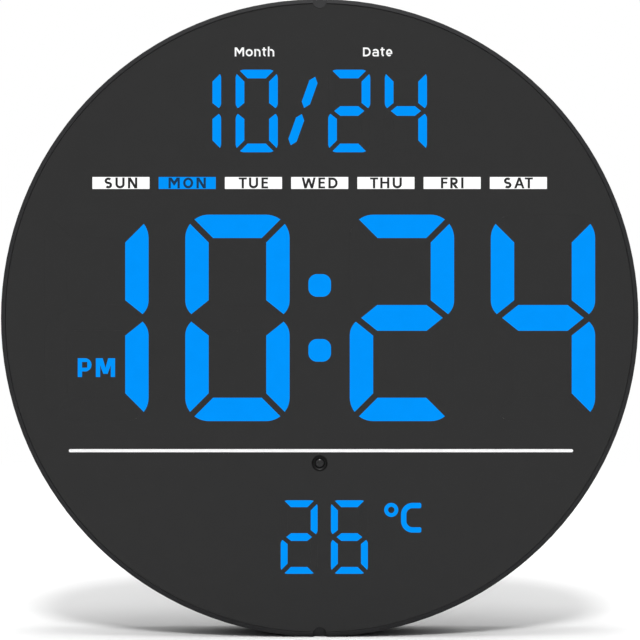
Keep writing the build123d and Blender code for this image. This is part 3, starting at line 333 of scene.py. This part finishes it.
def circuit_board(name, mask, track):
    """Solder mask over copper tracks."""
    material, tree, shader = start(name, MASK_SPECULAR)
    shader.inputs["Roughness"].default_value = MASK_ROUGHNESS
    spot = where(tree, turn=(math.radians(90), 0.0, 0.0))
    values = {"Vector": spot, "Scale": 1 / (TRACK_PITCH * MM), "Mortar Size": TRACK_WIDTH}
    tracks = add(tree, "TexBrick", values, offset=TRACK_OFFSET).outputs["Fac"]
    cover = varied(tree, noise(tree, spot, MASK_CLOUD), mask, MASK_UNEVEN)
    fill(tree, shader.inputs["Base Color"], mixed(tree, tracks, cover, track))
    fill(tree, shader.inputs["Normal"], bump(tree, tracks, TRACK_DEPTH))
    return material


def flat_cable(name, colour):
    """Ribbon of parallel insulated wires."""
    material, tree, shader = start(name, CABLE_SPECULAR)
    spot = where(tree)
    values = {"Vector": spot, "Scale": WAVE_SCALE / (WIRE_PITCH * MM)}
    wires = add(tree, "TexWave", values, bands_direction="X").outputs["Fac"]
    fill(tree, shader.inputs["Base Color"], mixed(tree, wires, scaled(colour, WIRE_SHADE), colour))
    rough = between(tree, noise(tree, spot, CABLE_GRAIN), CABLE_SMOOTHEST, CABLE_ROUGHEST)
    fill(tree, shader.inputs["Roughness"], rough)
    fill(tree, shader.inputs["Normal"], bump(tree, wires, WIRE_DEPTH))
    return material


# Stretches that make the drawn lines of a metal run along one axis
ALONG_Z = (6.0, 6.0, 0.3)
ALONG_Y = (8.0, 0.3, 8.0)

# One look per material slot. Moulded ones give roughness, specular level, and size and depth of the grain.
LOOKS = {
    "panel_grey": moulded("panel_grey", tint(36, 36, 36), 0.62, 0.22, 0.35, 0.004, mottle=0.03),
    "case_grey": moulded("case_grey", tint(41, 41, 42), 0.55, 0.07, 0.45, 0.012),
    "segment_blue": lit("segment_blue", tint(0, 149, 253), tint(0, 6, 14)),
    "window_white": lit("window_white", tint(248, 248, 248), tint(110, 110, 110)),
    "print_white": ink("print_white", tint(253, 253, 253)),
    "tape_black": moulded("tape_black", tint(24, 24, 24), 0.85, 0.2, 0.5, 0.05),
    "reflector_white": moulded("reflector_white", tint(236, 236, 232), 0.4, 0.5, 0.5, 0.01, mottle=0.02),
    "led_body": moulded("led_body", tint(236, 226, 168), 0.3, 0.5, 0.4, 0.01),
    "board_green": circuit_board("board_green", tint(16, 74, 40), tint(34, 112, 62)),
    "chip_black": moulded("chip_black", tint(27, 27, 28), 0.55, 0.4, 0.25, 0.01),
    "bare_steel": metal("bare_steel", tint(196, 196, 194), 0.28, ALONG_Z),
    "screw_steel": metal("screw_steel", tint(150, 150, 152), 0.34, ALONG_Y),
    "contact_brass": metal("contact_brass", tint(214, 186, 120), 0.3, ALONG_Y),
    "capacitor_sleeve": moulded("capacitor_sleeve", tint(30, 33, 62), 0.28, 0.5, 1.2, 0.02),
    "ribbon_grey": flat_cable("ribbon_grey", tint(168, 168, 170)),
    "sensor_black": moulded("sensor_black", tint(5, 5, 6), 0.30, 0.38, 0.6, 0.0003, mottle=0.02),
    "bezel_black": moulded("bezel_black", tint(9, 9, 9), 0.45, 0.08, 0.3, 0.001),
    "thermistor_resin": moulded("thermistor_resin", tint(34, 34, 36), 0.3, 0.5, 0.5, 0.01),
    "pad_rubber": moulded("pad_rubber", tint(26, 26, 26), 0.8, 0.3, 0.4, 0.03),
    "button_black": moulded("button_black", tint(33, 33, 34), 0.45, 0.4, 0.3, 0.006),
}
# Lighter copy of the case plastic for the back pieces: painted light, standing in for the light the lamps
# don't give the back
CASE_GREY_PAINTED_LIGHTER = moulded("case_grey_painted_lighter", tint(56, 56, 57), 0.6, 0.1, 0.45, 0.012)
BEZEL_DISH = moulded("bezel_dish", tint(4, 4, 4), 0.45, 0.42, 0.3, 0.0005)
LETTER_DARK = ink("letter_dark", tint(30, 30, 30))
# Same dark ink as the other weekday letters, tinted blue: painted glow of the lit window behind it
LETTER_BLUE_GLOW_PAINTED = ink("letter_blue_glow_painted", tint(16, 52, 82))
MARK_GREY = ink("mark_grey", tint(176, 176, 176))


def paint(piece, look):
    """Gives a piece or a node one material all over."""
    if not piece.material_slots:
        piece.data.materials.append(look)
    for slot in piece.material_slots:
        slot.material = look


for part in frame["record"]["subparts"]:
    paint(frame["nodes"][part["node"]], LOOKS[part["material_slot"]])
# Back cover, battery door and stand take the lighter copy of the case plastic, painted light on the back
for node in ("back_cover", "battery_door", "kickstand"):
    paint(frame["nodes"][node], CASE_GREY_PAINTED_LIGHTER)


# Lettering: pen strokes on a grid that is one capital letter high

# Heights of small letters, level strokes as a share of the pen, and the bar in the middle of capitals
X_HEIGHT = 0.82
ASCENDER = 1.10
THIN = 0.8
BAR_HEIGHT = 0.53
BAR_SHORTER = 0.04

# Width of each letter, and how much closer some pairs stand
LETTER_WIDTHS = {
    "A": 0.96, "C": 0.80, "D": 0.86, "E": 0.62, "F": 0.62, "H": 0.845, "I": 0.20, "M": 1.05, "N": 0.87,
    "O": 0.93, "R": 0.75, "S": 0.70, "T": 0.75, "U": 0.85, "W": 1.30, "+": 0.70, "-": 0.60, " ": 0.25,
    "a": 0.74, "e": 0.69, "h": 0.72, "n": 0.70, "o": 0.80, "t": 0.47,
}
TUCKS = {"TU": 0.11, "TH": 0.11, "WE": 0.06, "FR": 0.06, "RI": 0.04, "SA": 0.06, "AT": 0.28}


def box(left, low, right, high):
    return [(left, low), (right, low), (right, high), (left, high)]


def arc(x, y, across, up, first, last, steps=12):
    """Points along an ellipse from one angle to another."""
    turns = [math.radians(first + (last - first) * i / steps) for i in range(steps + 1)]
    return [(x + across * math.cos(turn), y + up * math.sin(turn)) for turn in turns]


def mirrored(face, width):
    return [(width - x, y) for x, y in reversed(face)]


def ribbon(path, pen, closed=False):
    """Faces along a path, as wide as the pen, with mitred corners."""
    points = [Vector(point) for point in path]
    earlier = [points[-1] if closed else 2 * points[0] - points[1]] + points[:-1]
    later = points[1:] + [points[0] if closed else 2 * points[-1] - points[-2]]
    edges = []
    for before, point, after in zip(earlier, points, later):
        come = (point - before).normalized()
        along = (come + (after - point).normalized()).normalized()
        side = Vector((-along.y, along.x)) * pen / 2 / along.dot(come)
        edges.append((tuple(point - side), tuple(point + side)))
    following = edges[1:] + edges[:1] if closed else edges[1:]
    return [[right, next_right, next_left, left]
            for (right, left), (next_right, next_left) in zip(edges, following)]


def ring(width, height, pen):
    loop = arc(width / 2, height / 2, (width - pen) / 2, (height - pen) / 2, 0, 360, steps=28)
    return ribbon(loop[:-1], pen, closed=True)


def letter_a(width, pen):
    middle = width / 2
    reach = middle - pen / 2
    leg = [(0, 0), (pen, 0), (middle, (middle - pen) / reach), (middle, 1), (middle - pen / 2, 1)]
    low = 0.25
    high = low + THIN * pen
    bar = [(pen + low * reach, low), (width - pen - low * reach, low),
           (width - pen - high * reach, high), (pen + high * reach, high)]
    return [leg, mirrored(leg, width), bar]


def letter_c(width, pen):
    return ribbon(arc(width / 2, 0.5, (width - pen) / 2, (1 - pen) / 2, 50, 310), pen)


def letter_d(width, pen):
    bulge = 0.55 * width
    bow = arc(width - bulge, 0.5, bulge - pen / 2, (1 - pen) / 2, -90, 90)
    return ribbon([(pen / 2, pen / 2)] + bow + [(pen / 2, 1 - pen / 2)], pen, closed=True)


def letter_e(width, pen):
    return letter_f(width, pen) + [box(pen, 0, width, THIN * pen)]


def letter_f(width, pen):
    thick = THIN * pen
    return [box(0, 0, pen, 1), box(pen, 1 - thick, width, 1),
            box(pen, BAR_HEIGHT - thick / 2, width - BAR_SHORTER, BAR_HEIGHT + thick / 2)]


def letter_h(width, pen):
    thick = THIN * pen
    return [box(0, 0, pen, 1), box(width - pen, 0, width, 1),
            box(pen, BAR_HEIGHT - thick / 2, width - pen, BAR_HEIGHT + thick / 2)]


def letter_i(width, pen):
    return [box((width - pen) / 2, 0, (width + pen) / 2, 1)]


def letter_m(width, pen):
    middle = width / 2
    dip = 0.78
    slope = dip / middle
    slant = 1.35 * pen
    half = [(pen, 1 - pen * slope), (middle, 1 - middle * slope), (middle, 1 - (middle - slant) * slope),
            (slant, 1), (pen, 1)]
    return [box(0, 0, pen, 1), half, mirrored(half, width), box(width - pen, 0, width, 1)]


def letter_n(width, pen):
    slant = 1.2 * pen
    slope = 1 / (width - slant)
    cross = [(pen, 1 - pen * slope), (width - slant, 0), (width - pen, 0),
             (width - pen, pen * slope), (slant, 1), (pen, 1)]
    return [box(0, 0, pen, 1), cross, box(width - pen, 0, width, 1)]


def letter_o(width, pen):
    return ring(width, 1, pen)


def letter_r(width, pen):
    waist = 0.45
    top = 1 - pen / 2
    turn = 0.45 * width
    bowl = arc(turn, (top + waist) / 2, 0.93 * width - pen / 2 - turn, (top - waist) / 2, 90, -90)
    under = waist - pen / 2
    leg = [(turn - pen / 2, under), (width - 1.25 * pen, 0), (width, 0), (turn + 0.75 * pen, under)]
    return [box(0, 0, pen, 1), leg] + ribbon([(pen, top)] + bowl + [(pen, waist)], pen)


def letter_s(width, pen):
    across = (width - pen) / 2
    up = (1 - pen) / 4
    top = arc(width / 2, 1 - pen / 2 - up, across, up, 40, 270)
    low = arc(width / 2, pen / 2 + up, across, up, 90, -140)
    return ribbon(top + low[1:], pen)


def letter_t(width, pen):
    thick = THIN * pen
    return [box(0, 1 - thick, width, 1), box((width - pen) / 2, 0, (width + pen) / 2, 1 - thick)]


def letter_u(width, pen):
    rise = 0.38
    bend = arc(width / 2, rise, (width - pen) / 2, rise - pen / 2, 180, 360)
    return ribbon([(pen / 2, 1)] + bend + [(width - pen / 2, 1)], pen)


def letter_w(width, pen):
    middle = width / 2
    foot = 0.27 * width
    peak = 0.94
    near = pen / 2
    fall = foot - near
    climb = (middle - foot) / peak
    notch = pen / (fall + climb)
    half = [(0, 1), (foot - near, 0), (foot + near, 0), (middle, (middle - foot - near) / climb),
            (middle, peak), (middle - near, peak), (foot - near + notch * climb, notch), (pen, 1)]
    return [half, mirrored(half, width)]


def small_a(width, pen):
    thin = THIN * pen
    waist = 0.43
    rise = 0.24
    hook = arc(width / 2, X_HEIGHT - thin / 2 - rise, (width - pen) / 2, rise, 150, 0)
    curve = arc(0.3 * width, (waist + thin / 2) / 2, 0.3 * width - pen / 2, (waist - thin / 2) / 2, 90, 270)
    bowl = [(width - pen, waist)] + curve + [(width - pen, thin / 2)]
    return ribbon(hook + [(width - pen / 2, 0)], pen) + ribbon(bowl, thin)


def small_e(width, pen):
    thin = THIN * pen
    middle = X_HEIGHT / 2
    curve = arc(width / 2, middle, (width - pen) / 2, middle - pen / 2, 0, 310, steps=24)
    return ribbon(curve, pen) + [box(pen, middle - thin, width, middle)]


def small_n(width, pen, top=X_HEIGHT):
    rise = 0.28
    arch = arc(width / 2, X_HEIGHT - pen / 2 - rise, (width - pen) / 2, rise, 115, 0)
    return [box(0, 0, pen, top)] + ribbon(arch + [(width - pen / 2, 0)], pen)


def small_h(width, pen):
    return small_n(width, pen, ASCENDER)


def small_o(width, pen):
    return ring(width, X_HEIGHT, pen)


def small_t(width, pen):
    left = 0.25 * width
    bend = width - left - pen
    foot = arc(left + pen / 2 + bend, pen / 2 + bend, bend, bend, 180, 270)
    thick = THIN * pen
    bars = [box(0, X_HEIGHT - thick, left, X_HEIGHT), box(left + pen, X_HEIGHT - thick, width, X_HEIGHT)]
    return bars + ribbon([(left + pen / 2, 1)] + foot, pen)


def sign_plus(width, pen):
    middle = width / 2
    near = pen / 2
    return [box(0, 0.5 - near, width, 0.5 + near),
            box(middle - near, 0.5 + near, middle + near, 0.5 + middle),
            box(middle - near, 0.5 - middle, middle + near, 0.5 - near)]


def sign_minus(width, pen):
    return [box(0, 0.5 - pen / 2, width, 0.5 + pen / 2)]


def blank(width, pen):
    return []


LETTERS = {
    "A": letter_a, "C": letter_c, "D": letter_d, "E": letter_e, "F": letter_f, "H": letter_h, "I": letter_i,
    "M": letter_m, "N": letter_n, "O": letter_o, "R": letter_r, "S": letter_s, "T": letter_t, "U": letter_u,
    "W": letter_w, "a": small_a, "e": small_e, "h": small_h, "n": small_n, "o": small_o, "t": small_t,
    "+": sign_plus, "-": sign_minus, " ": blank,
}


def line_of_letters(text, pen, space):
    """Faces of a line of text, centred on the grid's origin."""
    faces = []
    x = 0.0
    for i, letter in enumerate(text):
        width = LETTER_WIDTHS[letter]
        faces += [[(x + u, v) for u, v in face] for face in LETTERS[letter](width, pen)]
        x += width + space - TUCKS.get(text[i:i + 2], 0.0)
    middle = (x - space) / 2
    return [[(u - middle, v) for u, v in face] for face in faces]


def raised_mesh(name, faces, thickness):
    """Mesh of flat faces given some thickness."""
    form = bmesh.new()
    for face in faces:
        form.faces.new([form.verts.new((x, y, 0.0)) for x, y in face])
    bmesh.ops.remove_doubles(form, verts=form.verts, dist=WELD_GRID)
    grown = bmesh.ops.extrude_face_region(form, geom=form.faces[:])["geom"]
    tops = [item for item in grown if isinstance(item, bmesh.types.BMVert)]
    bmesh.ops.translate(form, verts=tops, vec=(0.0, 0.0, thickness))
    bmesh.ops.recalc_face_normals(form, faces=form.faces)
    mesh = bpy.data.meshes.new(name)
    form.to_mesh(mesh)
    form.free()
    return mesh


FRONT = Matrix.Rotation(math.radians(90), 4, "X")
BACK = Matrix.Rotation(math.radians(180), 4, "Z") @ FRONT


def finished(name, mesh, body, look):
    """Object made of a mesh, painted, in the scene and riding on a body."""
    piece = bpy.data.objects.new(name, mesh)
    bpy.context.scene.collection.objects.link(piece)
    paint(piece, look)
    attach(piece, body)
    return piece


def printed(name, text, place, facing, cap, pen, space, look):
    """Printed text, with the middle of its baseline at a point of a face."""
    size = cap * MM
    mesh = raised_mesh(name, line_of_letters(text, pen, space), INK_THICKNESS * MM / size)
    sunk = Matrix.Translation((0.0, 0.0, -INK_SINK * MM))
    mesh.transform(Matrix.Translation(place) @ facing @ sunk @ Matrix.Scale(size, 4))
    finished(name, mesh, "clock", look)


def month_and_date():
    """Words above the two halves of the date."""
    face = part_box("front_panel")[0].y
    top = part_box("date_segments_lit")[1].z
    for name, text, x in (("word_month", "Month", MONTH_X), ("word_date", "Date", DATE_X)):
        place = (x * MM, face, top + WORD_RISE * MM)
        printed(name, text, place, FRONT, WORD_CAP, WORD_PEN, WORD_SPACE, LOOKS["print_white"])


def weekday_names():
    """Weekday letters in the middle of each window."""
    row_low, row_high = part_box("weekday_windows")
    today_low, today_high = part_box("today_window")
    window = today_high.x - today_low.x
    pitch = (row_high.x - row_low.x - window) / (len(WEEKDAYS) - 1)
    base = (row_low.z + row_high.z) / 2 - WEEKDAY_CAP * MM / 2
    for i, day in enumerate(WEEKDAYS):
        x = row_low.x + window / 2 + pitch * i
        is_today = today_low.x < x < today_high.x
        # Letters in today's window take the ink with the painted blue glow
        look = LETTER_BLUE_GLOW_PAINTED if is_today else LETTER_DARK
        place = (x, row_low.y, base)
        name = "weekday_" + day.lower()
        printed(name, day, place, FRONT, WEEKDAY_CAP, WEEKDAY_PEN, WEEKDAY_SPACE, look)


month_and_date()
weekday_names()


# Sensor

def turned(name, profile, middle, look, node):
    """Fine round piece in place of a node: a closed profile of radii and depths, turned about Y."""
    points = []
    for i in range(SENSOR_STEPS):
        turn = math.tau * i / SENSOR_STEPS
        points += [(middle.x + r * math.cos(turn), y, middle.z + r * math.sin(turn)) for r, y in profile]
    count = len(profile)
    faces = []
    for i in range(SENSOR_STEPS):
        this = i * count
        following = (i + 1) % SENSOR_STEPS * count
        for j in range(count):
            k = (j + 1) % count
            faces.append((this + j, this + k, following + k, following + j))
    mesh = bpy.data.meshes.new(name)
    mesh.from_pydata(points, [], faces)
    form = bmesh.new()
    form.from_mesh(mesh)
    bmesh.ops.remove_doubles(form, verts=form.verts, dist=WELD_METRES)
    bmesh.ops.recalc_face_normals(form, faces=form.faces)
    form.to_mesh(mesh)
    form.free()
    mesh.shade_smooth()
    mesh.set_sharp_from_angle(angle=math.radians(SENSOR_SHARP_DEG))
    piece = finished(name, mesh, "clock", look)
    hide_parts(node)
    return piece


def sensor():
    """Dome, and the dished ring that it looks out of."""
    low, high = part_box("sensor_dome")
    radius = (high.x - low.x) / 2
    middle = (low + high) / 2
    rise = SENSOR_LENS_RISE * MM
    cap = [(r, low.y + rise - out) for r, out in arc(0, 0, radius, rise, 0, 90, steps=24)]
    profile = [(0.0, high.y), (radius, high.y)] + cap
    turned("dome_lens", profile, middle, LOOKS["sensor_black"], "sensor_dome")
    low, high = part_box("sensor_bezel")
    outer = (high.x - low.x) / 2
    mouth = outer - SENSOR_LAND * MM
    inner = radius + SENSOR_GAP * MM
    last = math.radians(SENSOR_RING_TURN_DEG)
    across = (mouth - inner) / (1 - math.cos(last))
    deep = SENSOR_RING_DEPTH * MM / math.sin(last)
    curve = arc(mouth - across, low.y, across, deep, 0, SENSOR_RING_TURN_DEG, steps=16)
    profile = [(inner, high.y), (outer, high.y), (outer, low.y)] + curve
    bezel = turned("sensor_ring", profile, middle, LOOKS["bezel_black"], "sensor_bezel")
    bezel.data.materials.append(BEZEL_DISH)
    for face in bezel.data.polygons:
        reach = math.hypot(face.center.x - middle.x, face.center.z - middle.z)
        if inner < reach < mouth and face.center.y < low.y + SENSOR_RING_DEPTH * MM:
            face.material_index = 1


sensor()


# Back

def centre_of(node):
    low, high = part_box(node)
    return (low + high) / 2


def back_marks():
    """Printed marks beside the buttons and the power inlet, and the sign on the cell."""
    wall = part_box("back_cover")[1].y
    for node, text in BUTTON_MARKS:
        spot = centre_of(node)
        place = (spot.x, wall, spot.z + BUTTON_MARK_RISE * MM)
        printed("mark_" + node, text, place, BACK, MARK_CAP, MARK_PEN, MARK_SPACE, MARK_GREY)
    jack_low, jack_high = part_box("dc_jack")
    place = ((jack_low.x + jack_high.x) / 2, wall, jack_low.z + INLET_MARK_RISE * MM)
    printed("mark_inlet", INLET_MARK, place, BACK, MARK_CAP, MARK_PEN, MARK_SPACE, MARK_GREY)
    cell = centre_of("coin_cell")
    place = (cell.x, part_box("coin_cell")[1].y, cell.z - CELL_MARK_CAP * MM / 2)
    look = LOOKS["screw_steel"]
    printed("mark_cell", "+", place, BACK, CELL_MARK_CAP, MARK_PEN, MARK_SPACE, look)


def raised(name, outline, face, body, look):
    """Low raised shape on a face that looks back, from an outline seen from behind."""
    mesh = raised_mesh(name, [outline], RAISED * MM)
    mesh.transform(Matrix.Translation((0.0, face, 0.0)) @ BACK)
    piece = finished(name, mesh, body, look)
    edge = piece.modifiers.new("edge", "BEVEL")
    edge.width = RAISED_BEVEL * MM
    edge.segments = RAISED_BEVEL_STEPS


def bar_outline(x, z, length, width):
    """Level bar with round ends."""
    radius = width / 2
    points = []
    for side in (1, -1):
        for i in range(BAR_STEPS + 1):
            turn = math.radians(-90 + 180 * i / BAR_STEPS)
            reach = length / 2 - radius + radius * math.cos(turn)
            points.append((x + side * reach, z + side * radius * math.sin(turn)))
    return points


def door_marks():
    """Finger ribs and an arrow on the battery door."""
    low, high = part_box("battery_door")
    x = -(low.x + high.x) / 2
    # Ribs and arrow share the back's lighter copy of the case plastic, painted light
    for i in range(RIB_COUNT):
        z = low.z + (RIB_RISE + RIB_PITCH * i) * MM
        outline = bar_outline(x, z, RIB_LENGTH * MM, RIB_WIDTH * MM)
        raised(f"door_rib_{i + 1}", outline, high.y, "battery_door", CASE_GREY_PAINTED_LIGHTER)
    tip = low.z + ARROW_RISE * MM
    half = ARROW_WIDTH * MM / 2
    outline = [(x, tip), (x + half, tip + ARROW_LENGTH * MM), (x - half, tip + ARROW_LENGTH * MM)]
    raised("door_arrow", outline, high.y, "battery_door", CASE_GREY_PAINTED_LIGHTER)


back_marks()
door_marks()


# Stage

def camera_sees(tree):
    """One where a view, mirror image or view through glass meets the surface, and nought for its light."""
    path = add(tree, "LightPath").outputs
    seen = add(tree, "Math", {0: path["Is Camera Ray"], 1: path["Is Glossy Ray"]}, operation="MAXIMUM")
    values = {0: seen.outputs[0], 1: path["Is Transmission Ray"]}
    return add(tree, "Math", values, operation="MAXIMUM").outputs[0]


def floor_material():
    """Pale floor that keeps the shadow near the clock and fades to white further out."""
    material = bpy.data.materials.new("floor")
    material.use_nodes = True
    tree = material.node_tree
    tree.nodes.clear()
    spot = where(tree)
    shade = varied(tree, noise(tree, spot, FLOOR_CLOUD), (FLOOR_SHADE,) * 3, FLOOR_UNEVEN)
    surface = add(tree, "BsdfDiffuse", {"Color": shade}).outputs[0]
    white = add(tree, "Emission", {"Strength": 1.0}).outputs[0]
    reach = add(tree, "VectorMath", {0: spot}, operation="LENGTH").outputs["Value"]
    values = {"Value": reach, "From Min": FLOOR_WHITE_NEAR * MM, "From Max": FLOOR_WHITE_FAR * MM}
    fade = add(tree, "MapRange", values, interpolation_type="SMOOTHSTEP").outputs["Result"]
    share = add(tree, "Math", {0: fade, 1: camera_sees(tree)}, operation="MULTIPLY").outputs[0]
    mix = add(tree, "MixShader", {"Fac": share, 1: surface, 2: white}).outputs[0]
    add(tree, "OutputMaterial", {"Surface": mix})
    return material


def floor():
    half = FLOOR_SIZE * MM / 2
    mesh = bpy.data.meshes.new("floor")
    corners = [(-half, -half, 0), (half, -half, 0), (half, half, 0), (-half, half, 0)]
    mesh.from_pydata(corners, [], [(0, 1, 2, 3)])
    plane = bpy.data.objects.new("floor", mesh)
    plane.location.z = cad_box[0].z
    bpy.context.scene.collection.objects.link(plane)
    paint(plane, floor_material())


def world():
    """White where it is seen, and softer as light, most of it from above."""
    sky = bpy.data.worlds.new("studio")
    sky.use_nodes = True
    tree = sky.node_tree
    tree.nodes.clear()
    rise = add(tree, "SeparateXYZ", {"Vector": add(tree, "TexCoord").outputs["Generated"]}).outputs["Z"]
    steep = add(tree, "Math", {0: rise, 1: rise}, operation="MULTIPLY").outputs[0]
    values = {"Value": steep, "To Min": HORIZON_LIGHT, "To Max": ZENITH_LIGHT}
    light = add(tree, "MapRange", values).outputs["Result"]
    values = {"Value": camera_sees(tree), "To Min": light, "To Max": 1.0}
    strength = add(tree, "MapRange", values).outputs["Result"]
    shine = add(tree, "Background", {"Color": (1.0, 1.0, 1.0, 1.0), "Strength": strength}).outputs[0]
    add(tree, "OutputWorld", {"Surface": shine})
    bpy.context.scene.world = sky


def lamp(name, direction, strength, angle):
    data = bpy.data.lights.new(name, "SUN")
    data.energy = strength
    data.angle = math.radians(angle)
    light = bpy.data.objects.new(name, data)
    light.rotation_mode = "QUATERNION"
    light.rotation_quaternion = Vector(direction).to_track_quat("Z", "Y")
    bpy.context.scene.collection.objects.link(light)


def camera():
    data = bpy.data.cameras.new("camera")
    data.lens = CAMERA_LENS
    data.sensor_width = CAMERA_SENSOR
    view = bpy.data.objects.new("camera", data)
    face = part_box("front_panel")[0].y
    view.location = (CAMERA_RIGHT * MM, face - CAMERA_DISTANCE * MM, -CAMERA_DROP * MM)
    view.rotation_euler = (math.radians(90), 0.0, 0.0)
    bpy.context.scene.collection.objects.link(view)
    bpy.context.scene.camera = view


floor()
world()
lamp("key_light", KEY_FROM, KEY_STRENGTH, KEY_ANGLE_DEG)
lamp("top_light", TOP_FROM, TOP_STRENGTH, TOP_ANGLE_DEG)
lamp("rear_light", REAR_FROM, REAR_STRENGTH, REAR_ANGLE_DEG)
camera()
bpy.context.scene.view_settings.view_transform = "Standard"
